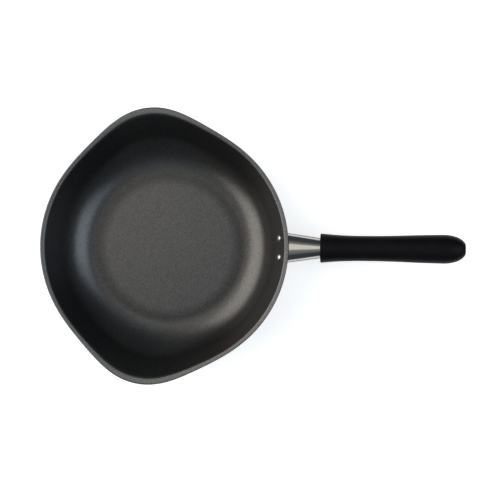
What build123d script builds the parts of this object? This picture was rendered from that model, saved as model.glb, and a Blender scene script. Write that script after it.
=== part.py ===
from build123d import *
import os
from math import asin, cos, exp, pi, radians, remainder, sin, tan

# An iron omelette pan with two pouring ears and a handle bolted on through a steel bracket.
# Millimetres and degrees. +Z is up and the handle points along +X.
# The origin is the middle of the pan's flat base, on the surface that it stands on.

# Pan body: one sheet drawn to a round bowl, with a turned lip and an ear on each side
sheet = 2.0
rim_radius = 127.0
rim_height = 52.0
corner_radius = 36.0
wall_angle = 68.0
lip_angle = 12.0
lip_bend_radius = 0.8
lip_flat = 2.8
ear_reach = 16.0
ear_draw = 2.0
ear_half_angle = 15.9
ear_fullness = 2.13
ear_spread_angle = 99.8
ear_turn_angle = -1.8
outline_count = 72
corner_count = 7
wall_count = 3
bend_count = 1

# Line of the handle: how far under the rim it crosses the wall, and how steeply it climbs
handle_drop = 13.6
handle_rise_angle = 8.0

# Neck: a thin tapered tube, flat-sided with full corners, from the wall to the grip
neck_length = 41.1
neck_root_width = 32.8
neck_root_height = 19.0
neck_tip_width = 19.1
neck_tip_height = 17.85
neck_corner_radius = 8.0
neck_skin = 0.8
wall_gap = 0.15

# Bracket: a steel strap bent to a U, with two feet on the wall
bracket_sheet = 2.0
bracket_width = 13.0
bracket_length = 30.0
bracket_bend_radius = 2.6
foot_span = 26.4
foot_corner_radius = 4.5

# Rivets: two, with domed heads inside the pan
rivet_spacing = 19.6
rivet_drop = 11.6
rivet_diameter = 4.0
rivet_head_diameter = 7.6
rivet_head_height = 2.2
rivet_tail_diameter = 6.0
rivet_tail_height = 1.2
rivet_hole_gap = 0.1
rivet_seat_gap = 0.08
rivet_dome_count = 2

# Tie bolt with its nut and washers
bolt_diameter = 5.0
bolt_overhang = 3.0
bolt_head_diameter = 8.5
bolt_head_height = 3.3
bolt_slot_width = 1.2
bolt_slot_depth = 1.5
bolt_hole_gap = 0.3
thread_gap = 0.05
nut_flats = 8.0
nut_height = 4.0
nut_side_gap = 0.15
washer_diameter = 9.2
washer_thickness = 1.0
spring_washer_wire = 1.3
spring_washer_split = 1.2

# Grip: a moulded resin handle, waisted behind the neck and full near its rounded tail
grip_length = 145.0
grip_width = 29.2
grip_height = 24.0
grip_front_width = 30.4
grip_front_height = 24.0
grip_crown_angle = 33.0
grip_nose_length = 22.0
grip_nose_fullness = 2.2
grip_end_width = 13.4
grip_end_height = 13.0
grip_edge = 1.0
grip_nose_count = 6
grip_bore_gap = 0.4
socket_depth = 6.0
socket_gap = 0.1
counterbore_diameter = 9.8
counterbore_depth = 12.0

# Share of the way to the nose, share of the grip's width and share of its height
grip_form_shares = (
    (0.05, 1.000, 0.97),
    (0.13, 0.944, 0.925),
    (0.25, 0.897, 0.87),
    (0.42, 0.885, 0.855),
    (0.62, 0.911, 0.90),
    (0.82, 0.970, 0.97),
)

overrun = 5.0


# Shared forms


def ear_share(angle):
    """How far an ear is drawn out at this angle about the pan's axis, from 0 to 1."""
    total = 0
    for middle in (ear_spread_angle, -ear_spread_angle):
        off = remainder(angle - radians(middle + ear_turn_angle), 2 * pi)
        total += exp(-((abs(off) / radians(ear_half_angle)) ** ear_fullness) / 2)
    return total


def outline(radius, drawn_share):
    """Points of a level ring round the bowl, its ears drawn out by a share of their reach."""
    points = []
    for step in range(outline_count):
        angle = 2 * pi * step / outline_count
        reach = radius + ear_reach * drawn_share * ear_share(angle)
        points.append((reach * cos(angle), reach * sin(angle)))
    return points


# The bowl's upper surface on its round side, as (radius, height, slope) from floor to lip
steep = radians(wall_angle)
gentle = radians(lip_angle)
bend_radius = lip_bend_radius + sheet
bend_run = bend_radius * (sin(steep) - sin(gentle))
bend_rise = bend_radius * (cos(gentle) - cos(steep))
wall_foot_height = sheet + corner_radius * (1 - cos(steep))
wall_top_height = rim_height - lip_flat * sin(gentle) - bend_rise
wall_rise = wall_top_height - wall_foot_height
wall_run = wall_rise / tan(steep)
lip_radius = rim_radius - sheet * sin(gentle)
wall_top_radius = lip_radius - lip_flat * cos(gentle) - bend_run
wall_foot_radius = wall_top_radius - wall_run
floor_radius = wall_foot_radius - corner_radius * sin(steep)

corner_rings = []
for step in range(corner_count + 1):
    slope = steep * step / corner_count
    run = corner_radius * sin(slope)
    rise = corner_radius * (1 - cos(slope))
    corner_rings.append((floor_radius + run, sheet + rise, slope))
bend_rings = []
for step in range(bend_count + 1):
    slope = steep + (gentle - steep) * step / bend_count
    run = bend_radius * (sin(steep) - sin(slope))
    rise = bend_radius * (cos(slope) - cos(steep))
    bend_rings.append((wall_top_radius + run, wall_top_height + rise, slope))
lip_ring = (lip_radius, rim_height, gentle)
wall_rings = []
for step in range(1, wall_count):
    share = step / wall_count
    wall_rings.append(
        (wall_foot_radius + wall_run * share, wall_foot_height + wall_rise * share, steep)
    )


def wall_radius(height, depth):
    """Radius of the straight wall at a height, on the surface this deep behind the inside one."""
    return wall_foot_radius + (height - wall_foot_height) / tan(steep) + depth / sin(steep)


def bowl(depth, beyond):
    """Filled bowl out to the surface this deep behind the inside one, its lip run on by beyond."""
    levels = []
    for radius, height, slope in corner_rings + wall_rings + bend_rings + [lip_ring]:
        level = height - depth * cos(slope)
        drawn_share = ((radius - floor_radius) / (lip_radius - floor_radius)) ** ear_draw
        # Deep behind the surface the tight bend under the lip turns back, and those rings are left out
        if not levels or level > levels[-1][0]:
            levels.append((level, radius + depth * sin(slope), drawn_share))
    brim_height = rim_height + beyond * sin(gentle)
    levels.append((brim_height, levels[-1][1] + beyond * cos(gentle), 1))
    with BuildPart() as filled:
        for level, radius, drawn_share in levels:
            with BuildSketch(Plane.XY.offset(level)):
                with BuildLine():
                    Spline(*outline(radius, drawn_share), periodic=True)
                make_face()
        loft(ruled=True)
    return filled.part


# Planes of the handle: x across the pan, y up, z along the handle from the wall to the tail
climb = radians(handle_rise_angle)
handle_start_height = rim_height - handle_drop
handle_start_radius = wall_radius(handle_start_height, sheet)
handle = Plane(
    origin=(handle_start_radius, 0, handle_start_height),
    x_dir=(0, 1, 0),
    z_dir=(cos(climb), 0, sin(climb)),
)
wall_skin = bowl(sheet + wall_gap, 0)
neck_end = neck_length + socket_depth - socket_gap


def taper(distance, root_size, tip_size):
    """Width or height of the neck at a distance from the wall."""
    return root_size + (tip_size - root_size) * distance / neck_end


def neck_form(start, end, inset):
    """Solid of the neck's taper between two distances from the wall, its outside inset."""
    with BuildPart() as form:
        for upward, root_size, tip_size, mode in (
            (handle.y_dir, neck_root_width, neck_tip_width, Mode.ADD),
            (handle.x_dir, neck_root_height, neck_tip_height, Mode.INTERSECT),
        ):
            near = taper(start, root_size, tip_size) / 2 - inset
            far = taper(end, root_size, tip_size) / 2 - inset
            with BuildSketch(Plane(origin=handle.origin, x_dir=handle.z_dir, z_dir=upward)):
                Polygon((start, -near), (end, -far), (end, far), (start, near), align=None)
            extrude(amount=neck_root_width, both=True, mode=mode)
        ends = form.faces().sort_by(Axis(handle.origin, handle.z_dir))
        long_edges = form.edges() - ends[0].edges() - ends[-1].edges()
        fillet(long_edges, radius=neck_corner_radius - inset)
    return form.part


def nose_size(full, end, along):
    """Width or height of the grip at a distance along its nose, from full size to the end's."""
    reach = grip_nose_length / (1 - (end / full) ** grip_nose_fullness) ** (1 / grip_nose_fullness)
    return full * (1 - (along / reach) ** grip_nose_fullness) ** (1 / grip_nose_fullness)


def rivet_plane(side):
    """Plane on the inside of the wall at one rivet, its z pointing into the pan."""
    height = rim_height - rivet_drop
    radius = wall_radius(height, 0)
    turn = asin(side * rivet_spacing / 2 / radius)
    outward = (cos(turn), sin(turn))
    return Plane(
        origin=(radius * outward[0], radius * outward[1], height),
        x_dir=(-outward[1], outward[0], 0),
        z_dir=(-sin(steep) * outward[0], -sin(steep) * outward[1], cos(steep)),
    )


rivet_planes = [rivet_plane(side) for side in (-1, 1)]
stack_depth = sheet + wall_gap + bracket_sheet

# Pan body
with BuildPart() as pan_body:
    add(bowl(sheet, 0))
    add(bowl(0, overrun), mode=Mode.SUBTRACT)
    for place in rivet_planes:
        with BuildSketch(place.offset(overrun)):
            Circle(rivet_diameter / 2 + rivet_hole_gap)
        extrude(amount=-(sheet + 2 * overrun), mode=Mode.SUBTRACT)

# Handle bracket: feet cut to the curve of the wall, and two legs joined by the end of the U
leg_inside = nut_flats / 2 + nut_side_gap
leg_outside = leg_inside + bracket_sheet
with BuildPart() as handle_bracket:
    with BuildSketch(handle.offset(-overrun)):
        RectangleRounded(foot_span, bracket_width, foot_corner_radius)
    extrude(amount=2 * overrun + stack_depth)
    add(bowl(stack_depth, 0), mode=Mode.INTERSECT)
    legs = Plane(origin=handle.origin, x_dir=handle.z_dir, z_dir=handle.y_dir)
    with BuildSketch(legs):
        with Locations(((bracket_length - overrun) / 2, 0)):
            Rectangle(bracket_length + overrun, 2 * leg_outside)
    extrude(amount=bracket_width / 2, both=True)
    corners = handle_bracket.edges().filter_by(Axis(handle.origin, handle.y_dir))
    fillet(corners.sort_by(Axis(handle.origin, handle.z_dir))[-2:], radius=bracket_bend_radius)
    with BuildSketch(legs):
        with Locations(((bracket_length - bracket_sheet - overrun) / 2, 0)):
            Rectangle(bracket_length - bracket_sheet + overrun, 2 * leg_inside)
    extrude(amount=bracket_width, both=True, mode=Mode.SUBTRACT)
    add(wall_skin, mode=Mode.SUBTRACT)
    with BuildSketch(handle.offset(bracket_length + overrun)):
        Circle((bolt_diameter + bolt_hole_gap) / 2)
    extrude(amount=-(bracket_sheet + 2 * overrun), mode=Mode.SUBTRACT)
    for place in rivet_planes:
        with BuildSketch(place):
            Circle(rivet_diameter / 2 + rivet_hole_gap)
        extrude(amount=-(stack_depth + overrun), mode=Mode.SUBTRACT)

# Rivets: a domed head on the inside of the wall, a shank, and a tail closed on the bracket
dome_radius = ((rivet_head_diameter / 2) ** 2 + rivet_head_height**2) / (2 * rivet_head_height)
dome_angle = asin(rivet_head_diameter / 2 / dome_radius)
dome_centre = rivet_seat_gap + rivet_head_height - dome_radius
dome = []
for step in range(rivet_dome_count + 1):
    turn = dome_angle * step / rivet_dome_count
    dome.append((dome_radius * sin(turn), dome_centre + dome_radius * cos(turn)))
tail_start = -(stack_depth + rivet_seat_gap)
with BuildPart() as rivets:
    for place in rivet_planes:
        with BuildSketch(Plane(origin=place.origin, x_dir=place.x_dir, z_dir=-place.y_dir)):
            with BuildLine():
                Polyline(
                    *dome,
                    (rivet_diameter / 2, rivet_seat_gap),
                    (rivet_diameter / 2, tail_start),
                    (rivet_tail_diameter / 2, tail_start),
                    (rivet_tail_diameter / 2, tail_start - rivet_tail_height),
                    (0, tail_start - rivet_tail_height),
                    dome[0],
                )
            make_face()
        revolve(axis=Axis(place.origin, place.z_dir))

# Neck: tapered tube, its front end cut to the wall and its back end seated in the grip
with BuildPart() as neck_ferrule:
    add(neck_form(-overrun * 2, neck_end, 0))
    add(neck_form(-overrun * 3, neck_end + overrun, neck_skin), mode=Mode.SUBTRACT)
    add(wall_skin, mode=Mode.SUBTRACT)

# Grip
crown = radians(grip_crown_angle)
grip_sections = [
    (0, grip_front_width - 2 * grip_edge, grip_front_height - 2 * grip_edge),
    (grip_edge, grip_front_width, grip_front_height),
]
nose_start = grip_length - grip_nose_length
for length_share, width_share, height_share in grip_form_shares:
    grip_sections.append(
        (nose_start * length_share, grip_width * width_share, grip_height * height_share)
    )
for step in range(grip_nose_count + 1):
    along = grip_nose_length * sin(pi / 2 * step / grip_nose_count)
    grip_sections.append(
        (
            nose_start + along,
            nose_size(grip_width, grip_end_width, along),
            nose_size(grip_height, grip_end_height, along),
        )
    )

bolt_seat = neck_length + grip_length - counterbore_depth
with BuildPart() as grip:
    for distance, width, height in grip_sections:
        # Two wide arcs and two tight ones that meet smoothly at the crown angle
        step_down = (width - height) / 2 / (sin(crown) + cos(crown) - 1)
        crown_radius = width / 2 + step_down * (1 - sin(crown))
        crown_drop = height / 2 - crown_radius
        join = (crown_radius * sin(crown), crown_drop + crown_radius * cos(crown))
        with BuildSketch(handle.offset(neck_length + distance)):
            with BuildLine():
                ThreePointArc(join, (0, height / 2), (-join[0], join[1]))
                ThreePointArc((-join[0], join[1]), (-width / 2, 0), (-join[0], -join[1]))
                ThreePointArc((-join[0], -join[1]), (0, -height / 2), (join[0], -join[1]))
                ThreePointArc((join[0], -join[1]), (width / 2, 0), join)
            make_face()
    loft(ruled=True)
    add(neck_form(neck_length - overrun, neck_length + socket_depth, -socket_gap), mode=Mode.SUBTRACT)
    with BuildSketch(handle.offset(neck_length)):
        Circle((bolt_diameter + grip_bore_gap) / 2)
    extrude(amount=grip_length, mode=Mode.SUBTRACT)
    with BuildSketch(handle.offset(bolt_seat)):
        Circle(counterbore_diameter / 2)
    extrude(amount=counterbore_depth + overrun, mode=Mode.SUBTRACT)

# Bolt, nut and washers, all on the line of the handle
nut_seat = bracket_length - bracket_sheet
bolt_tip = nut_seat - nut_height - bolt_overhang
head_seat = bolt_seat + washer_thickness + spring_washer_wire
with BuildPart() as tie_bolt:
    with BuildSketch(handle.offset(bolt_tip)):
        Circle(bolt_diameter / 2)
    extrude(amount=head_seat - bolt_tip)
    with BuildSketch(handle.offset(head_seat)):
        Circle(bolt_head_diameter / 2)
    extrude(amount=bolt_head_height)
    with BuildSketch(handle.offset(head_seat + bolt_head_height)):
        Rectangle(bolt_head_diameter, bolt_slot_width)
    extrude(amount=-bolt_slot_depth, mode=Mode.SUBTRACT)

with BuildPart() as bracket_nut:
    with BuildSketch(handle.offset(nut_seat)):
        RegularPolygon(nut_flats / 2, 6, major_radius=False, rotation=30)
        Circle(bolt_diameter / 2 + thread_gap, mode=Mode.SUBTRACT)
    extrude(amount=-nut_height)

with BuildPart() as flat_washer:
    with BuildSketch(handle.offset(bolt_seat)):
        Circle(washer_diameter / 2)
        Circle((bolt_diameter + bolt_hole_gap) / 2, mode=Mode.SUBTRACT)
    extrude(amount=washer_thickness)

with BuildPart() as spring_washer:
    with BuildSketch(handle.offset(bolt_seat + washer_thickness)):
        Circle(washer_diameter / 2)
        Circle((bolt_diameter + bolt_hole_gap) / 2, mode=Mode.SUBTRACT)
        with Locations((0, washer_diameter / 2)):
            Rectangle(spring_washer_split, washer_diameter, mode=Mode.SUBTRACT)
    extrude(amount=spring_washer_wire)

pan_body.part.label = "pan_body"
handle_bracket.part.label = "handle_bracket"
rivets.part.label = "rivets"
neck_ferrule.part.label = "neck_ferrule"
grip.part.label = "grip"
tie_bolt.part.label = "tie_bolt"
bracket_nut.part.label = "bracket_nut"
flat_washer.part.label = "flat_washer"
spring_washer.part.label = "spring_washer"

os.makedirs("parts", exist_ok=True)
export_step(pan_body.part, "parts/pan_body.step")
export_step(handle_bracket.part, "parts/handle_bracket.step")
export_step(rivets.part, "parts/rivets.step")
export_step(neck_ferrule.part, "parts/neck_ferrule.step")
export_step(grip.part, "parts/grip.step")
export_step(tie_bolt.part, "parts/tie_bolt.step")
export_step(bracket_nut.part, "parts/bracket_nut.step")
export_step(flat_washer.part, "parts/flat_washer.step")
export_step(spring_washer.part, "parts/spring_washer.step")

print("floor radius", round(floor_radius, 2), "handle starts at", round(handle_start_radius, 2))
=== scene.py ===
"""Looks of a drawn-iron omelette pan: its bowl, rivets, steel neck and resin grip, in a plain studio."""

import bpy
import numpy as np
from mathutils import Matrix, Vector


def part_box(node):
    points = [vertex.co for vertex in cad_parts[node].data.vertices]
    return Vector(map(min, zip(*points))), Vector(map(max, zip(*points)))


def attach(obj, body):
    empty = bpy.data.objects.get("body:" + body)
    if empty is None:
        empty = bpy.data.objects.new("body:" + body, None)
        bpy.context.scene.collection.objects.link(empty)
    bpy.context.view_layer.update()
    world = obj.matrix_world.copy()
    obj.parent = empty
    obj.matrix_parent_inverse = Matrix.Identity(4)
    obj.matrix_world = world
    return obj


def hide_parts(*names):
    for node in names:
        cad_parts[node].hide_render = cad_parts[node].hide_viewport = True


bl_info = {
    "name": "Omelette pan",
    "version": (1, 0, 0),
    "blender": (4, 5, 0),
    "location": "View3D > Sidebar > Pan",
    "description": "Builds an iron omelette pan with two pouring ears over its packed solids",
    "category": "Add Mesh",
}

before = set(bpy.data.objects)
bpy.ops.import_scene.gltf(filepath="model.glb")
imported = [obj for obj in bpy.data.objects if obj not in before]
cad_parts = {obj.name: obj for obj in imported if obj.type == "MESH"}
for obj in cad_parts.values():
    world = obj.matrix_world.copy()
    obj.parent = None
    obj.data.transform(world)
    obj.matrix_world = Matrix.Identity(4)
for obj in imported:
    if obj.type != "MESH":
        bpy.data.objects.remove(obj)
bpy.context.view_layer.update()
PAN_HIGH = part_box("pan_body")[1]

# What the rounding of the lip's edge takes off its reach
EDGE_ALLOWANCE = 0.00017


# Settings


def length_setting(name, description, default):
    """Setting for a length in metres."""
    return bpy.props.FloatProperty(name=name, description=description, default=default, subtype="DISTANCE")


def angle_setting(name, description, degrees):
    """Setting for an angle, kept in radians."""
    default = np.radians(degrees)
    return bpy.props.FloatProperty(name=name, description=description, default=default, subtype="ANGLE")


def number_setting(name, description, default):
    """Setting for a plain number."""
    return bpy.props.FloatProperty(name=name, description=description, default=default)


def pair_setting(name, description, default):
    """Setting for two numbers that belong together."""
    return bpy.props.FloatVectorProperty(name=name, description=description, default=default, size=2)


def colour_setting(name, description, default):
    """Setting for a colour."""
    return bpy.props.FloatVectorProperty(
        name=name, description=description, default=default, size=3, subtype="COLOR"
    )


class PanSizes(bpy.types.PropertyGroup):
    """Sizes of the drawn bowl, its lip and its two pouring ears."""

    rim_radius: length_setting(
        "Rim radius", "Radius that the round rim would have with a square edge", PAN_HIGH.x + EDGE_ALLOWANCE
    )
    rim_height: length_setting("Rim height", "Height of the rim over the table", PAN_HIGH.z)
    sheet: length_setting("Sheet", "Thickness of the iron sheet", 0.002)
    corner_radius: length_setting("Corner radius", "Inside radius between floor and wall", 0.036)
    wall_angle: angle_setting("Wall angle", "Slope of the wall", 68.0)
    lip_angle: angle_setting("Lip angle", "Slope at the end of the turned lip", 12.0)
    lip_bend_radius: length_setting("Lip bend radius", "Radius under the turned lip", 0.0008)
    lip_flat: length_setting("Lip flat", "Length of the lip beyond its bend", 0.0028 + EDGE_ALLOWANCE)
    edge_round: length_setting("Edge round", "Length over which the sheet's edge closes", 0.0008)
    ear_reach: length_setting("Ear reach", "How far an ear stands out of the round rim", 0.016)
    ear_draw: number_setting("Ear draw", "How late up the wall an ear begins to open", 2.0)
    ear_half_angle: angle_setting("Ear half angle", "Spread of an ear round the rim", 15.9)
    ear_fullness: number_setting("Ear fullness", "Roundness of an ear's outline", 2.13)
    ear_spread: angle_setting("Ear spread", "Angle from the handle to an ear", 99.8)
    ear_turn: angle_setting("Ear turn", "Turn of both ears against the handle", -1.8)


class HandleSizes(bpy.types.PropertyGroup):
    """Sizes of the handle's line, the steel neck and the resin grip."""

    centre_height: length_setting("Centre height", "Where the handle's line leaves the wall", 0.0384)
    rise: angle_setting("Rise", "How steeply the handle climbs", 8.0)
    wall_gap: length_setting("Wall gap", "Gap between the wall and the neck", 0.00015)
    neck_length: length_setting("Neck length", "From the wall to the grip", 0.0411)
    neck_root: pair_setting("Neck root", "Width and height at the wall", (0.0328, 0.019))
    neck_tip: pair_setting("Neck tip", "Width and height at its end in the grip", (0.0191, 0.01785))
    neck_fullness: pair_setting("Neck fullness", "Squareness at the wall and at the tip", (2.2, 2.05))
    neck_skin: length_setting("Neck skin", "Thickness of the neck's steel", 0.0008)
    socket_depth: length_setting("Socket depth", "How deep the neck sits in the grip", 0.006)
    socket_gap: length_setting("Socket gap", "Gap round the neck in its socket", 0.0001)
    grip_length: length_setting("Grip length", "Length of the resin grip", 0.145)
    grip_width: length_setting("Grip width", "Greatest width near the tail", 0.0292)
    grip_height: length_setting("Grip height", "Greatest height near the tail", 0.024)
    grip_fullness: number_setting("Grip fullness", "Squareness of the grip's section", 2.15)
    edge: length_setting("Front edge", "Rounding of the grip's front edge", 0.001)
    nose_length: length_setting("Nose length", "Length of the rounded tail", 0.022)
    nose_fullness: number_setting("Nose fullness", "Roundness of the tail", 2.2)
    end_width: length_setting("End width", "Width of the flat end", 0.0120)
    end_height: length_setting("End height", "Height of the flat end", 0.0117)
    bore_radius: length_setting("Bore radius", "Bore for the tie bolt", 0.0027)
    counterbore_radius: length_setting("Counterbore radius", "Well for the bolt's head", 0.0049)
    counterbore_depth: length_setting("Counterbore depth", "Depth of that well", 0.012)


class RivetSizes(bpy.types.PropertyGroup):
    """Sizes of the two rivets."""

    spacing: length_setting("Spacing", "Between the rivets' middles", 0.0196)
    height: length_setting("Height", "Of the rivets over the table", 0.0404)
    shank_radius: length_setting("Shank radius", "Radius of the shank", 0.002)
    head_radius: length_setting("Head radius", "Radius of the domed head", 0.0038)
    head_height: length_setting("Head height", "Height of the domed head", 0.0022)
    tail_radius: length_setting("Tail radius", "Radius of the closed tail", 0.003)
    tail_height: length_setting("Tail height", "Height of the closed tail", 0.0012)
    seat_gap: length_setting("Seat gap", "Gap under head and tail", 0.00008)
    stack: length_setting("Stack", "Wall, gap and bracket that the rivet holds", 0.00415)


class Finishes(bpy.types.PropertyGroup):
    """Colours of the finishes and the studio."""

    iron: colour_setting("Iron", "Nitrided iron", (0.110, 0.110, 0.112))
    stainless: colour_setting("Stainless", "Polished neck", (0.52, 0.505, 0.475))
    rivet_steel: colour_setting("Rivet steel", "Bright rivets", (0.68, 0.66, 0.64))
    plated_steel: colour_setting("Plated steel", "Bracket, bolt and washers", (0.60, 0.60, 0.58))
    resin: colour_setting("Resin", "Black grip", (0.0052, 0.0042, 0.0060))
    floor: colour_setting("Floor", "Studio floor", (0.88, 0.88, 0.88))


# Meshes from grids of points


def ring_mesh(name, rows, has_poles):
    """Mesh of closed rings, rows[j, i], each joined to the next. With poles, the first and the last ring have
    no size, and each becomes one point. Without, the last ring is joined to the first."""
    count_rows, count_round = rows.shape[:2]
    index = np.arange(count_rows * count_round).reshape(count_rows, count_round)
    body = index[1:-1] if has_poles else np.vstack([index, index[:1]])
    following = np.roll(body, -1, axis=1)
    blocks = [np.stack([body[:-1], following[:-1], following[1:], body[1:]], axis=-1).reshape(-1, 4)]
    if has_poles:
        start, end = np.full(count_round, index[0, 0]), np.full(count_round, index[-1, 0])
        blocks.append(np.stack([start, following[0], body[0]], axis=-1))
        blocks.append(np.stack([end, body[-1], following[-1]], axis=-1))
    used = np.unique(np.concatenate([block.ravel() for block in blocks]))
    place = np.full(index.size, -1)
    place[used] = np.arange(len(used))
    faces = [face for block in blocks for face in place[block].tolist()]
    mesh = bpy.data.meshes.new(name)
    mesh.from_pydata(rows.reshape(-1, 3)[used].tolist(), [], faces)
    mesh.validate()
    mesh.polygons.foreach_set("use_smooth", np.ones(len(mesh.polygons), bool))
    mesh.update()
    piece = bpy.data.objects.new(name, mesh)
    bpy.context.scene.collection.objects.link(piece)
    return piece


def around(count):
    """Equal angles of one full turn."""
    return np.linspace(0.0, 2 * np.pi, count, endpoint=False)


def superellipse(angle, half_width, half_height, fullness):
    """Points where |x / half_width| ** fullness + |y / half_height| ** fullness is 1, towards an angle."""
    across, up = np.abs(np.cos(angle) / half_width), np.abs(np.sin(angle) / half_height)
    reach = (across**fullness + up**fullness) ** (-1 / fullness)
    return reach * np.cos(angle), reach * np.sin(angle)


def finish_piece(piece, slot, material, *nodes):
    """Gives a piece its material and its body, and hides the CAD nodes that it stands for. The slot is not
    used.
    """
    piece.data.materials.append(material)
    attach(piece, "root")
    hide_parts(*nodes)


# The bowl

# Points round the bowl, and points along each stretch of its profile
BOWL_ROUND = 480
FLOOR_POINTS, CORNER_POINTS, WALL_POINTS, BEND_POINTS, LIP_POINTS, EDGE_POINTS = 10, 26, 16, 16, 6, 9


def ear_share(sizes, angle):
    """How far an ear is drawn out at an angle, from 0 to 1: about each ear it is
    exp(-(|off| / half angle) ** fullness / 2)."""
    total = np.zeros_like(angle)
    for middle in (sizes.ear_spread, -sizes.ear_spread):
        off = (angle - middle - sizes.ear_turn + np.pi) % (2 * np.pi) - np.pi
        total += np.exp(-((np.abs(off) / sizes.ear_half_angle) ** sizes.ear_fullness) / 2)
    return total


def bowl_places(sizes):
    """Radii and heights of the inside of the sheet where its floor, corner, wall and lip meet."""
    steep, gentle = sizes.wall_angle, sizes.lip_angle
    bend = sizes.lip_bend_radius + sizes.sheet
    lip_radius = sizes.rim_radius - sizes.sheet * np.sin(gentle)
    top_radius = lip_radius - sizes.lip_flat * np.cos(gentle) - bend * (np.sin(steep) - np.sin(gentle))
    top_height = sizes.rim_height - sizes.lip_flat * np.sin(gentle) - bend * (np.cos(gentle) - np.cos(steep))
    foot_height = sizes.sheet + sizes.corner_radius * (1 - np.cos(steep))
    foot_radius = top_radius - (top_height - foot_height) / np.tan(steep)
    floor_radius = foot_radius - sizes.corner_radius * np.sin(steep)
    return {
        "lip_radius": lip_radius,
        "top_radius": top_radius,
        "top_height": top_height,
        "foot_radius": foot_radius,
        "foot_height": foot_height,
        "floor_radius": floor_radius,
        "bend": bend,
    }


def bowl_profile(sizes, places):
    """Inside line of the sheet from the middle of the floor to the lip, as radius, height, slope and half
    thickness.

    Floor: level. Corner: an arc of the corner radius up to the wall's slope. Wall: straight. Lip: an arc back
    down to the lip's slope, then straight. The half thickness is half the sheet, and closes as cos(turn) over
    the last stretch of the lip.
    """
    steep, gentle = sizes.wall_angle, sizes.lip_angle
    floor_share = np.linspace(0.0, 1.0, FLOOR_POINTS, endpoint=False)
    corner_slope = np.linspace(0.0, steep, CORNER_POINTS)
    wall_share = np.linspace(0.0, 1.0, WALL_POINTS)[1:-1]
    bend_slope = np.linspace(steep, gentle, BEND_POINTS)
    turn = np.linspace(0.0, np.pi / 2, EDGE_POINTS)
    flat_left = np.linspace(sizes.lip_flat, sizes.edge_round, LIP_POINTS)[1:-1]
    lip_left = np.concatenate([flat_left, sizes.edge_round * (1 - np.sin(turn))])
    radius = np.concatenate(
        [
            places["floor_radius"] * floor_share,
            places["floor_radius"] + sizes.corner_radius * np.sin(corner_slope),
            places["foot_radius"] + (places["top_radius"] - places["foot_radius"]) * wall_share,
            places["top_radius"] + places["bend"] * (np.sin(steep) - np.sin(bend_slope)),
            places["lip_radius"] - lip_left * np.cos(gentle),
        ]
    )
    height = np.concatenate(
        [
            np.full_like(floor_share, sizes.sheet),
            sizes.sheet + sizes.corner_radius * (1 - np.cos(corner_slope)),
            places["foot_height"] + (places["top_height"] - places["foot_height"]) * wall_share,
            places["top_height"] + places["bend"] * (np.cos(bend_slope) - np.cos(steep)),
            sizes.rim_height - lip_left * np.sin(gentle),
        ]
    )
    slope = np.concatenate(
        [
            np.zeros_like(floor_share),
            corner_slope,
            np.full_like(wall_share, steep),
            bend_slope,
            np.full_like(lip_left, gentle),
        ]
    )
    half = np.full_like(radius, sizes.sheet / 2)
    half[-len(turn):] = sizes.sheet / 2 * np.cos(turn)
    return radius, height, slope, half


def bowl_surface(sizes):
    """Closed skin of the bowl. A ring has radius r + reach * share(r) * ear(angle), and share(r) is
    ((r - floor) / (lip - floor)) ** draw. Under side and upper side are half a sheet off the middle of the
    sheet, along the profile's own normal, so rows run from the middle of the base out to the lip and back."""
    places = bowl_places(sizes)
    radius, height, slope, half = bowl_profile(sizes, places)
    middle_radius = radius + sizes.sheet / 2 * np.sin(slope)
    middle_height = height - sizes.sheet / 2 * np.cos(slope)
    past_floor = np.clip(radius - places["floor_radius"], 0, None)
    drawn = (past_floor / (places["lip_radius"] - places["floor_radius"])) ** sizes.ear_draw
    under_radius, under_height = middle_radius + half * np.sin(slope), middle_height - half * np.cos(slope)
    upper_radius, upper_height = middle_radius - half * np.sin(slope), middle_height + half * np.cos(slope)
    row_radius = np.concatenate([under_radius, upper_radius[-2::-1]])
    row_height = np.concatenate([under_height, upper_height[-2::-1]])
    row_drawn = np.concatenate([drawn, drawn[-2::-1]])
    angle = around(BOWL_ROUND)
    reach = row_radius[:, None] + sizes.ear_reach * row_drawn[:, None] * ear_share(sizes, angle)[None, :]
    level = np.broadcast_to(row_height[:, None], reach.shape)
    return np.stack([reach * np.cos(angle), reach * np.sin(angle), level], axis=-1)


class PAN_OT_bowl(bpy.types.Operator):
    """Build the drawn iron bowl with its turned lip and two ears"""

    bl_idname = "pan.bowl"
    bl_label = "Iron bowl"

    def execute(self, context):
        sizes = context.scene.pan_sizes
        bowl = ring_mesh("iron_bowl", bowl_surface(sizes), has_poles=True)
        finish_piece(bowl, "iron", iron_material(context.scene.pan_finishes, sizes), "pan_body")
        return {"FINISHED"}


# Rivets

# Points round a rivet, over its dome and over its tail's corner
RIVET_ROUND, DOME_POINTS, TAIL_POINTS = 64, 16, 8
# Share of the head's height that is upright at its brim, and of the tail's height that is rounded
BRIM_SHARE, TAIL_ROUND_SHARE = 0.12, 0.6


def wall_radius(sizes, places, height, depth):
    """Radius of the straight wall at a height, this deep behind its inside."""
    run = (height - places["foot_height"]) / np.tan(sizes.wall_angle)
    return places["foot_radius"] + run + depth / np.sin(sizes.wall_angle)


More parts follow.
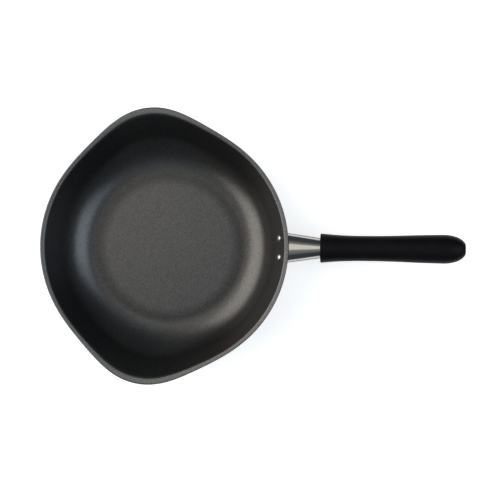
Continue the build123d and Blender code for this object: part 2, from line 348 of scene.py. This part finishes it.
def rivet_rows(rivet):
    """Half section of a rivet from the top of its dome to the middle of its tail, as radius and distance
    along its axis. The dome is an arc, pressed flatter so that it ends at the top of the brim."""
    dome_radius = (rivet.head_radius**2 + rivet.head_height**2) / (2 * rivet.head_height)
    dome = np.linspace(0.0, np.arcsin(rivet.head_radius / dome_radius), DOME_POINTS)
    dome_drop = dome_radius * (1 - np.cos(dome)) * (1 - BRIM_SHARE)
    tail_seat = -rivet.stack - rivet.seat_gap
    turn = np.linspace(0.0, np.pi / 2, TAIL_POINTS)
    corner = rivet.tail_height * TAIL_ROUND_SHARE
    radius = np.concatenate(
        [
            dome_radius * np.sin(dome),
            [rivet.head_radius, rivet.shank_radius, rivet.shank_radius, rivet.tail_radius],
            rivet.tail_radius - corner + corner * np.cos(turn),
            [0.0],
        ]
    )
    along = np.concatenate(
        [
            rivet.seat_gap + rivet.head_height - dome_drop,
            [rivet.seat_gap, rivet.seat_gap, tail_seat, tail_seat],
            tail_seat - rivet.tail_height + corner - corner * np.sin(turn),
            [tail_seat - rivet.tail_height],
        ]
    )
    return radius, along


def rivet_surface(sizes, places, rivet, side):
    """A rivet's half section turned about the line square to the wall, at one side of the handle."""
    radius, along = rivet_rows(rivet)
    seat = wall_radius(sizes, places, rivet.height, 0.0)
    turn = np.arcsin(side * rivet.spacing / 2 / seat)
    outward = np.array([np.cos(turn), np.sin(turn), 0.0])
    sideways = np.array([-np.sin(turn), np.cos(turn), 0.0])
    inward = -np.sin(sizes.wall_angle) * outward + np.array([0.0, 0.0, np.cos(sizes.wall_angle)])
    upward = np.cross(inward, sideways)
    centre = seat * outward + np.array([0.0, 0.0, rivet.height])
    angle = around(RIVET_ROUND)
    spoke = np.cos(angle)[:, None] * sideways + np.sin(angle)[:, None] * upward
    rows = centre + along[:, None, None] * inward + radius[:, None, None] * spoke[None]
    return rows[::-1]


class PAN_OT_rivets(bpy.types.Operator):
    """Build the two domed rivets that hold the handle's bracket"""

    bl_idname = "pan.rivets"
    bl_label = "Rivets"

    def execute(self, context):
        sizes, rivet = context.scene.pan_sizes, context.scene.pan_rivets
        places = bowl_places(sizes)
        material = rivet_material(context.scene.pan_finishes)
        for side, name in ((-1, "rivet_right"), (1, "rivet_left")):
            piece = ring_mesh(name, rivet_surface(sizes, places, rivet, side), has_poles=True)
            finish_piece(piece, "rivet_steel", material, "rivets")
        return {"FINISHED"}


# Neck and grip, on the line of the handle

# Points round the neck and along it, and rounds of moving its start to the wall
NECK_ROUND, NECK_POINTS, NECK_FITS = 160, 48, 12
# Points round the grip, and along its front edge, its body and its nose
GRIP_ROUND, GRIP_EDGE_POINTS, GRIP_BODY_POINTS, GRIP_NOSE_POINTS = 176, 8, 70, 26
# Share of the well's radius that is broken at its mouth
WELL_LEAD_SHARE = 0.06
# Share of the way to the nose, share of the grip's width and share of its height
GRIP_FORM = np.array(
    [
        (0.00, 1.041, 1.000),
        (0.05, 1.000, 0.970),
        (0.13, 0.944, 0.925),
        (0.25, 0.897, 0.870),
        (0.42, 0.885, 0.855),
        (0.62, 0.911, 0.900),
        (0.82, 0.970, 0.970),
        (1.00, 1.000, 1.000),
    ]
)


def handle_axes(sizes, handle):
    """Where the handle's line leaves the wall, and its directions across, up and along."""
    start = wall_radius(sizes, bowl_places(sizes), handle.centre_height, sizes.sheet)
    origin = np.array([start, 0.0, handle.centre_height])
    across = np.array([0.0, 1.0, 0.0])
    up = np.array([-np.sin(handle.rise), 0.0, np.cos(handle.rise)])
    along = np.array([np.cos(handle.rise), 0.0, np.sin(handle.rise)])
    return origin, across, up, along


def neck_end(handle):
    """Distance from the wall to the neck's end in its socket."""
    return handle.neck_length + handle.socket_depth - handle.socket_gap


def neck_section(handle, angle, distance, inset):
    """Across and up of the neck's taper at a distance from the wall, inset from its outside."""
    share = distance / neck_end(handle)
    width = handle.neck_root[0] + (handle.neck_tip[0] - handle.neck_root[0]) * share
    height = handle.neck_root[1] + (handle.neck_tip[1] - handle.neck_root[1]) * share
    fullness = handle.neck_fullness[0] + (handle.neck_fullness[1] - handle.neck_fullness[0]) * share
    return superellipse(angle, width / 2 - inset, height / 2 - inset, fullness)


def neck_surface(sizes, handle):
    """Tube of superellipses that narrows evenly from the wall to the grip. Each line along it starts where it
    meets the cone of the wall: the start is moved by (cone radius - own radius) until the two agree."""
    places = bowl_places(sizes)
    origin, across, up, along = handle_axes(sizes, handle)
    angle = around(NECK_ROUND)

    def place(distance, inset):
        x, y = neck_section(handle, angle, distance, inset)
        return origin + x[..., None] * across + y[..., None] * up + np.asarray(distance)[..., None] * along

    skins = []
    share = np.linspace(0.0, 1.0, NECK_POINTS)[:, None]
    for inset in (0.0, handle.neck_skin):
        start = np.zeros_like(angle)
        for _ in range(NECK_FITS):
            points = place(start, inset)
            cone = wall_radius(sizes, places, points[:, 2], sizes.sheet + handle.wall_gap)
            start += cone - np.hypot(points[:, 0], points[:, 1])
        skins.append(place(start[None, :] + (neck_end(handle) - start[None, :]) * share, inset))
    return np.concatenate([skins[0], skins[1][::-1]])


def smooth_between(stations, values, where):
    """Cubic Hermite curve through values at stations, its slopes taken from the neighbours."""
    slopes = np.gradient(values, stations)
    left = np.clip(np.searchsorted(stations, where, side="right") - 1, 0, len(stations) - 2)
    span = stations[left + 1] - stations[left]
    t = (where - stations[left]) / span
    return (
        (2 * t**3 - 3 * t**2 + 1) * values[left]
        + (t**3 - 2 * t**2 + t) * span * slopes[left]
        + (3 * t**2 - 2 * t**3) * values[left + 1]
        + (t**3 - t**2) * span * slopes[left + 1]
    )


def nose_share(handle, end_share, along):
    """Superellipse quarter that falls from 1 to the share left at the flat end of the nose."""
    full = handle.nose_fullness
    reach = handle.nose_length / (1 - end_share**full) ** (1 / full)
    return (1 - (along / reach) ** full) ** (1 / full)


def grip_skin(handle, angle):
    """Outside of the grip, as across, up and along: superellipses from the rounded front edge over the waist
    and the nose to the flat end."""
    nose_start = handle.grip_length - handle.nose_length
    turn = np.linspace(0.0, np.pi / 2, GRIP_EDGE_POINTS)
    edge = handle.edge * (1 - np.sin(turn))
    edge_distance = handle.edge * (1 - np.cos(turn))
    body_distance = np.linspace(handle.edge, nose_start, GRIP_BODY_POINTS)[1:]
    nose_along = handle.nose_length * np.sin(np.linspace(0.0, np.pi / 2, GRIP_NOSE_POINTS)[1:])
    distance = np.concatenate([edge_distance, body_distance, nose_start + nose_along])
    halves = []
    for column, full, end in (
        (1, handle.grip_width, handle.end_width),
        (2, handle.grip_height, handle.end_height),
    ):
        half = full / 2 * smooth_between(GRIP_FORM[:, 0], GRIP_FORM[:, column], distance / nose_start)
        half[-len(nose_along):] = full / 2 * nose_share(handle, end / full, nose_along)
        half[: len(edge)] -= edge
        halves.append(half[:, None])
    x, y = superellipse(angle[None, :], *halves, handle.grip_fullness)
    return np.stack([x, y, np.broadcast_to(distance[:, None], x.shape)], axis=-1)


def grip_inside(handle, angle):
    """Inside of the grip, as across, up and along: the bolt's well, the bore and the neck's socket."""
    well_floor = handle.grip_length - handle.counterbore_depth
    lead = handle.counterbore_radius * WELL_LEAD_SHARE
    rings = [
        (radius * np.cos(angle), radius * np.sin(angle), distance)
        for distance, radius in (
            (handle.grip_length, handle.counterbore_radius + lead),
            (handle.grip_length - lead, handle.counterbore_radius),
            (well_floor, handle.counterbore_radius),
            (well_floor, handle.bore_radius),
            (handle.socket_depth, handle.bore_radius),
        )
    ]
    for distance in (handle.socket_depth, 0.0):
        section = neck_section(handle, angle, handle.neck_length + distance, -handle.socket_gap)
        rings.append((*section, distance))
    return np.array([np.stack([x, y, np.full_like(angle, distance)], axis=-1) for x, y, distance in rings])


def grip_surface(sizes, handle):
    """Closed skin of the grip, its outside and then its inside, in the handle's place."""
    origin, across, up, along = handle_axes(sizes, handle)
    angle = around(GRIP_ROUND)
    rows = np.concatenate([grip_skin(handle, angle), grip_inside(handle, angle)])
    distance = rows[..., 2:] + handle.neck_length
    return origin + rows[..., :1] * across + rows[..., 1:2] * up + distance * along


class PAN_OT_neck(bpy.types.Operator):
    """Build the tapered steel neck between the wall and the grip"""

    bl_idname = "pan.neck"
    bl_label = "Steel neck"

    def execute(self, context):
        sizes, handle = context.scene.pan_sizes, context.scene.pan_handle
        neck = ring_mesh("steel_neck", neck_surface(sizes, handle), has_poles=False)
        finish_piece(neck, "stainless", stainless_material(context.scene.pan_finishes), "neck_ferrule")
        return {"FINISHED"}


class PAN_OT_grip(bpy.types.Operator):
    """Build the moulded resin grip with its socket, bore and bolt well"""

    bl_idname = "pan.grip"
    bl_label = "Resin grip"

    def execute(self, context):
        sizes, handle = context.scene.pan_sizes, context.scene.pan_handle
        grip = ring_mesh("resin_grip", grip_surface(sizes, handle), has_poles=False)
        finish_piece(grip, "resin", resin_material(context.scene.pan_finishes), "grip")
        return {"FINISHED"}


class PAN_OT_fasteners(bpy.types.Operator):
    """Give the bracket, the tie bolt, its nut and its washers their plated finish"""

    bl_idname = "pan.fasteners"
    bl_label = "Bracket and bolt"

    def execute(self, context):
        material = plated_material(context.scene.pan_finishes)
        for name in ("handle_bracket", "tie_bolt", "bracket_nut", "flat_washer", "spring_washer"):
            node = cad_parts[name]
            node.data.materials.clear()
            node.data.materials.append(material)
        return {"FINISHED"}


# Nodes

# Places of a Mix node's colour sockets, whose names its other kinds share
MIX_A, MIX_B, MIX_RESULT = 6, 7, 2


def add_node(tree, kind, settings=(), **values):
    """A shader node with some of its settings, and some of its inputs set by name."""
    node = tree.nodes.new(kind)
    for name, value in dict(settings).items():
        setattr(node, name, value)
    for name, value in values.items():
        node.inputs[name.replace("_", " ")].default_value = value
    return node


def wire(tree, *links):
    """Links outputs to inputs, each link given as node, output, node, input."""
    for source, output, target, entry in links:
        tree.links.new(source.outputs[output], target.inputs[entry])


def start_group(name, numbers, outputs):
    """A new node group from a vector and numbers to numbers, with its first and its last node."""
    group = bpy.data.node_groups.new(name, "ShaderNodeTree")
    face = group.interface
    face.new_socket("Vector", in_out="INPUT", socket_type="NodeSocketVector")
    for entry, default in numbers.items():
        face.new_socket(entry, in_out="INPUT", socket_type="NodeSocketFloat").default_value = default
    for output in outputs:
        face.new_socket(output, in_out="OUTPUT", socket_type="NodeSocketFloat")
    return group, add_node(group, "NodeGroupInput"), add_node(group, "NodeGroupOutput")


def grain_group():
    """Shared effect: fine grain as a height, and slow cloudy patches as a mask, both from one vector."""
    found = bpy.data.node_groups.get("Surface grain")
    if found:
        return found
    scales = {"Grain Scale": 600.0, "Patch Scale": 25.0}
    group, start, end = start_group("Surface grain", scales, ("Height", "Patches"))
    grain = add_node(group, "ShaderNodeTexNoise", Detail=3.0, Roughness=0.6)
    patches = add_node(group, "ShaderNodeTexNoise", Detail=4.0, Roughness=0.55)
    spread = add_node(group, "ShaderNodeMapRange", From_Min=0.3, From_Max=0.7)
    wire(
        group,
        (start, "Vector", grain, "Vector"),
        (start, "Vector", patches, "Vector"),
        (start, "Grain Scale", grain, "Scale"),
        (start, "Patch Scale", patches, "Scale"),
        (grain, "Fac", end, "Height"),
        (patches, "Fac", spread, "Value"),
        (spread, "Result", end, "Patches"),
    )
    return group


def floor_edge_shade_group():
    """Shared effect: painted shade, a mask of 1 with a soft ring round the pan's axis, in which it falls to
    the depth.
    """
    found = bpy.data.node_groups.get("Painted floor edge shade")
    if found:
        return found
    ring = {"Radius": 0.075, "Width": 0.008, "Depth": 0.75}
    group, start, end = start_group("Painted floor edge shade", ring, ("Mask",))
    level = add_node(group, "ShaderNodeVectorMath", {"operation": "MULTIPLY"})
    level.inputs[1].default_value = (1.0, 1.0, 0.0)
    reach = add_node(group, "ShaderNodeVectorMath", {"operation": "LENGTH"})
    off = add_node(group, "ShaderNodeMath", {"operation": "SUBTRACT"})
    size = add_node(group, "ShaderNodeMath", {"operation": "ABSOLUTE"})
    mask = add_node(group, "ShaderNodeMapRange", {"interpolation_type": "SMOOTHSTEP"}, To_Max=1.0)
    wire(
        group,
        (start, "Vector", level, 0),
        (level, "Vector", reach, 0),
        (reach, "Value", off, 0),
        (start, "Radius", off, 1),
        (off, "Value", size, 0),
        (size, "Value", mask, "Value"),
        (start, "Width", mask, "From Max"),
        (start, "Depth", mask, "To Min"),
        (mask, "Result", end, "Mask"),
    )
    return group


# Materials

# How far below the rim the lip's painted highlight and painted shade start and are full
LIP_PAINT_START, LIP_PAINT_FULL = 0.0014, 0.0007
# How far up the surface faces where the lip turns over, and on its flat
EDGE_FACING, FLAT_FACING = 0.80, 0.95


def start_material(name, **values):
    """A new material with its node tree, its Principled shader with some values set, and its coordinates."""
    material = bpy.data.materials.new(name)
    material.use_nodes = True
    tree = material.node_tree
    shader = tree.nodes["Principled BSDF"]
    for entry, value in values.items():
        shader.inputs[entry.replace("_", " ")].default_value = value
    return material, tree, shader, add_node(tree, "ShaderNodeTexCoord")


def add_grain(tree, shader, place, output, scale, patch_scale, strength, distance):
    """Puts the shared grain on a shader's normal and returns the group's node. Strength and distance are
    those of the bump."""
    settings = {"node_tree": grain_group()}
    grain = add_node(tree, "ShaderNodeGroup", settings, Grain_Scale=scale, Patch_Scale=patch_scale)
    bump = add_node(tree, "ShaderNodeBump", Strength=strength, Distance=distance)
    wire(
        tree,
        (place, output, grain, "Vector"),
        (grain, "Height", bump, "Height"),
        (bump, "Normal", shader, "Normal"),
    )
    return grain


def spread_value(tree, source, output, target, entry, low, high):
    """Carries a mask from 0 to 1 over to an input as low to high."""
    spread = add_node(tree, "ShaderNodeMapRange", To_Min=low, To_Max=high)
    wire(tree, (source, output, spread, "Value"), (spread, "Result", target, entry))


def spread_colour(tree, source, output, target, entry, colour, low, high):
    """Carries a mask from 0 to 1 over to an input as the colour times low to the colour times high."""
    mix = add_node(tree, "ShaderNodeMix", {"data_type": "RGBA"})
    for end, factor in ((MIX_A, low), (MIX_B, high)):
        mix.inputs[end].default_value = (*(min(channel * factor, 1.0) for channel in colour), 1.0)
    wire(tree, (source, output, mix, "Factor"), (mix, MIX_RESULT, target, entry))


def patchy_material(name, colour, shades, roughness, grain, stretch=None, **values):
    """Material whose patches run between two shades of a colour and between two roughnesses. The grain is its
    scale, the patches' scale, and the strength and distance of its bump."""
    material, tree, shader, place = start_material(name, **values)
    output = "Object"
    if stretch:
        mapping = add_node(tree, "ShaderNodeMapping", Scale=stretch)
        wire(tree, (place, output, mapping, "Vector"))
        place, output = mapping, "Vector"
    effect = add_grain(tree, shader, place, output, *grain)
    spread_colour(tree, effect, "Patches", shader, "Base Color", colour, *shades)
    spread_value(tree, effect, "Patches", shader, "Roughness", *roughness)
    return material


def lip_highlight_and_shade(tree, place, sizes, edge_shade_gain, flat_highlight_gain):
    """Factor that is 1 but for the lip, where it paints light and shade: there it is the flat's gain, a
    painted highlight that is partly a rubbed bare edge, where the lip looks up, and it falls to the edge's
    gain, painted shade, where the lip turns over. Returns the node that gives it."""
    height, facing = add_node(tree, "ShaderNodeSeparateXYZ"), add_node(tree, "ShaderNodeSeparateXYZ")
    surface = add_node(tree, "ShaderNodeNewGeometry")
    low, high = sizes.rim_height - LIP_PAINT_START, sizes.rim_height - LIP_PAINT_FULL
    rise = add_node(tree, "ShaderNodeMapRange", From_Min=low, From_Max=high)
    tone = add_node(
        tree,
        "ShaderNodeMapRange",
        From_Min=EDGE_FACING,
        From_Max=FLAT_FACING,
        To_Min=edge_shade_gain,
        To_Max=flat_highlight_gain,
    )
    mix = add_node(tree, "ShaderNodeMix", {"data_type": "FLOAT"}, A=1.0)
    wire(
        tree,
        (place, "Object", height, "Vector"),
        (height, "Z", rise, "Value"),
        (surface, "Normal", facing, "Vector"),
        (facing, "Z", tone, "Value"),
        (rise, "Result", mix, "Factor"),
        (tone, "Result", mix, "B"),
    )
    return mix


def iron_material(finishes, sizes):
    """Nitrided iron: dark satin metal, speckled by its grain, with a ring of painted shade at the floor's
    edge, a painted highlight on the lip's flat that is partly a rubbed bare edge, and painted shade where the
    lip turns over."""
    material, tree, shader, place = start_material("Nitrided iron", Metallic=0.92)
    grain = add_grain(
        tree, shader, place, "Object", scale=700.0, patch_scale=22.0, strength=0.6, distance=0.00012
    )
    # Painted shade: a darker ring where the floor meets the corner.
    ring = add_node(
        tree, "ShaderNodeGroup", {"node_tree": floor_edge_shade_group()}, Radius=0.0775, Width=0.0130, Depth=0.60
    )
    # Painted highlight on the lip's flat, partly a rubbed bare edge, and painted shade where the lip turns
    # over.
    lip = lip_highlight_and_shade(tree, place, sizes, edge_shade_gain=0.45, flat_highlight_gain=1.5)
    factor = add_node(tree, "ShaderNodeMath", {"operation": "MULTIPLY"})
    shade = add_node(tree, "ShaderNodeMix", {"data_type": "RGBA", "blend_type": "MULTIPLY"}, Factor=1.0)
    spread_colour(tree, grain, "Height", shade, MIX_A, finishes.iron, low=0.36, high=1.64)
    spread_value(tree, grain, "Patches", shader, "Roughness", low=0.31, high=0.35)
    wire(
        tree,
        (place, "Object", ring, "Vector"),
        (ring, "Mask", factor, 0),
        (lip, "Result", factor, 1),
        (factor, "Value", shade, MIX_B),
        (shade, MIX_RESULT, shader, "Base Color"),
    )
    return material


def stainless_material(finishes):
    """Polished stainless steel with faint draw lines along the neck. Its tint dims it where it turns away."""
    return patchy_material(
        "Polished stainless",
        finishes.stainless,
        shades=(0.95, 1.03),
        roughness=(0.15, 0.21),
        grain=(1500.0, 90.0, 0.12, 0.00002),
        stretch=(0.06, 1.0, 1.0),
        Metallic=1.0,
        Specular_Tint=(0.12, 0.12, 0.12, 1.0),
    )


def rivet_material(finishes):
    """Bright steel with the light marks of the setting tool."""
    return patchy_material(
        "Rivet steel",
        finishes.rivet_steel,
        shades=(0.86, 1.04),
        roughness=(0.20, 0.32),
        grain=(1300.0, 260.0, 0.3, 0.00004),
        Metallic=1.0,
    )


def plated_material(finishes):
    """Zinc-plated steel, a little cloudy."""
    return patchy_material(
        "Plated steel",
        finishes.plated_steel,
        shades=(0.85, 1.05),
        roughness=(0.28, 0.45),
        grain=(1100.0, 140.0, 0.2, 0.00003),
        Metallic=1.0,
    )


def resin_material(finishes):
    """Black moulded resin: satin, with a fine grain and slightly rubbed patches."""
    return patchy_material(
        "Black resin",
        finishes.resin,
        shades=(0.8, 1.3),
        roughness=(0.38, 0.46),
        grain=(1400.0, 45.0, 0.25, 0.00003),
        Specular_IOR_Level=0.10,
    )


# Studio

FLOOR_REACH = 6.0
# Distances from the middle between which the floor's glow grows, and its strength at both
GLOW_NEAR, GLOW_FAR, GLOW_LOW, GLOW_FULL = 0.6, 2.0, 0.66, 1.0
# How far up a direction points, and the surround's level there
SURROUND_LEVELS = ((0.0, 0.90), (0.03, 0.45), (0.08, 0.06), (0.78, 0.07), (0.90, 0.27), (1.0, 0.29))
SURROUND_TINT = (0.88, 1.0, 1.10)
# Lamps: name, azimuth and elevation in degrees, width and height in metres, watts, colour
LAMPS = (
    ("top", 150, 74, (0.85, 1.4), 3.3, (1.0, 0.91, 0.77)),
    ("key", 171, 37, (2.9, 1.9), 41.0, (1.0, 0.94, 0.85)),
    ("fill", -6, 49, (1.55, 1.6), 12.8, (0.80, 0.91, 1.0)),
)
LAMP_DISTANCE = 2.2
# The camera looks straight down, turned a little with the photographed handle
CAMERA_PLACE = (0.08755, -0.00265, 0.85)
CAMERA_TURN = np.radians(0.56)
# Lens and width of the sensor in millimetres
CAMERA_LENS, CAMERA_SENSOR = 56.32, 36.0


def floor_material(finishes):
    """White floor: matt paint, with a glow that only the camera and reflections see. It grows to full white
    where the lamps' light fades."""
    material, tree, shader, place = start_material("Studio floor", Roughness=0.9)
    grain = add_grain(
        tree, shader, place, "Object", scale=300.0, patch_scale=3.0, strength=0.02, distance=0.0002
    )
    spread_colour(tree, grain, "Patches", shader, "Base Color", finishes.floor, low=0.995, high=1.0)
    glow = add_node(tree, "ShaderNodeEmission")
    away = add_node(tree, "ShaderNodeVectorMath", {"operation": "LENGTH"})
    fade = add_node(
        tree, "ShaderNodeMapRange", From_Min=GLOW_NEAR, From_Max=GLOW_FAR, To_Min=GLOW_LOW, To_Max=GLOW_FULL
    )
    total = add_node(tree, "ShaderNodeAddShader")
    choose = add_node(tree, "ShaderNodeMixShader")
    sharp = add_node(tree, "ShaderNodeMath", {"operation": "MAXIMUM"})
    seen = add_node(tree, "ShaderNodeMath", {"operation": "MAXIMUM"})
    rays = add_node(tree, "ShaderNodeLightPath")
    wire(
        tree,
        (place, "Object", away, 0),
        (away, "Value", fade, "Value"),
        (fade, "Result", glow, "Strength"),
        (rays, "Is Glossy Ray", sharp, 0),
        (rays, "Is Transmission Ray", sharp, 1),
        (rays, "Is Camera Ray", seen, 0),
        (sharp, "Value", seen, 1),
        (shader, "BSDF", total, 0),
        (glow, "Emission", total, 1),
        (seen, "Value", choose, "Fac"),
        (shader, "BSDF", choose, 1),
        (total, "Shader", choose, 2),
        (choose, "Shader", tree.nodes["Material Output"], "Surface"),
    )
    return material


def studio_world():
    """Studio surround: white at the floor's edge, dim at the sides, grey overhead. The camera sees white."""
    world = bpy.data.worlds.new("Studio")
    world.use_nodes = True
    tree = world.node_tree
    surround = tree.nodes["Background"]
    white = add_node(tree, "ShaderNodeBackground", Color=(1.0, 1.0, 1.0, 1.0))
    choose = add_node(tree, "ShaderNodeMixShader")
    rays = add_node(tree, "ShaderNodeLightPath")
    place = add_node(tree, "ShaderNodeTexCoord")
    axes = add_node(tree, "ShaderNodeSeparateXYZ")
    ramp = add_node(tree, "ShaderNodeValToRGB")
    stops = ramp.color_ramp.elements
    while len(stops) < len(SURROUND_LEVELS):
        stops.new(0.5)
    for stop, (height, level) in zip(stops, SURROUND_LEVELS):
        stop.position = height
        stop.color = (*(level * tint for tint in SURROUND_TINT), 1.0)
    wire(
        tree,
        (place, "Generated", axes, "Vector"),
        (axes, "Z", ramp, "Fac"),
        (ramp, "Color", surround, "Color"),
        (rays, "Is Camera Ray", choose, "Fac"),
        (surround, "Background", choose, 1),
        (white, "Background", choose, 2),
        (choose, "Shader", tree.nodes["World Output"], "Surface"),
    )
    return world


def softbox(name, azimuth, elevation, size, power, colour):
    """An oblong lamp that faces the middle of the pan from an azimuth and an elevation."""
    data = bpy.data.lights.new(name, "AREA")
    data.shape = "RECTANGLE"
    data.size, data.size_y = size
    data.energy = power
    data.color = colour
    lamp = bpy.data.objects.new(name, data)
    level = np.cos(elevation)
    towards = Vector((level * np.cos(azimuth), level * np.sin(azimuth), np.sin(elevation)))
    lamp.location = towards * LAMP_DISTANCE
    lamp.rotation_euler = towards.to_track_quat("Z", "Y").to_euler()
    bpy.context.scene.collection.objects.link(lamp)


class PAN_OT_stage(bpy.types.Operator):
    """Set up the white floor, the surround, the lamps and the camera"""

    bl_idname = "pan.stage"
    bl_label = "Studio"

    def execute(self, context):
        scene = context.scene
        mesh = bpy.data.meshes.new("studio_floor")
        corners = [(x * FLOOR_REACH, y * FLOOR_REACH, 0.0) for x, y in ((-1, -1), (1, -1), (1, 1), (-1, 1))]
        mesh.from_pydata(corners, [], [(0, 1, 2, 3)])
        mesh.materials.append(floor_material(scene.pan_finishes))
        floor = bpy.data.objects.new("studio_floor", mesh)
        scene.collection.objects.link(floor)
        scene.world = studio_world()
        for name, azimuth, elevation, size, power, colour in LAMPS:
            softbox(name, np.radians(azimuth), np.radians(elevation), size, power, colour)
        data = bpy.data.cameras.new("camera")
        data.sensor_width = CAMERA_SENSOR
        data.lens = CAMERA_LENS
        camera = bpy.data.objects.new("camera", data)
        camera.location = CAMERA_PLACE
        camera.rotation_euler = (0.0, 0.0, CAMERA_TURN)
        scene.collection.objects.link(camera)
        scene.camera = camera
        scene.view_settings.view_transform = "Standard"
        return {"FINISHED"}


# Add-on


class PAN_PT_panel(bpy.types.Panel):
    """The pan's pieces, its studio and their settings"""

    bl_label = "Omelette pan"
    bl_idname = "PAN_PT_panel"
    bl_space_type = "VIEW_3D"
    bl_region_type = "UI"
    bl_category = "Pan"

    def draw(self, context):
        layout = self.layout
        for operator in PIECES:
            layout.operator(operator.bl_idname)
        for group in GROUPS:
            settings = getattr(context.scene, group)
            for name in settings.__annotations__:
                layout.prop(settings, name)


PIECES = (PAN_OT_bowl, PAN_OT_rivets, PAN_OT_neck, PAN_OT_grip, PAN_OT_fasteners, PAN_OT_stage)
GROUPS = {
    "pan_sizes": PanSizes,
    "pan_handle": HandleSizes,
    "pan_rivets": RivetSizes,
    "pan_finishes": Finishes,
}


def register():
    for cls in (*GROUPS.values(), *PIECES, PAN_PT_panel):
        bpy.utils.register_class(cls)
    for name, group in GROUPS.items():
        setattr(bpy.types.Scene, name, bpy.props.PointerProperty(type=group))


def unregister():
    for name in GROUPS:
        delattr(bpy.types.Scene, name)
    for cls in reversed((*GROUPS.values(), *PIECES, PAN_PT_panel)):
        bpy.utils.unregister_class(cls)


def main():
    register()
    for operator in PIECES:
        family, name = operator.bl_idname.split(".")
        getattr(getattr(bpy.ops, family), name)()


if __name__ == "__main__":
    main()
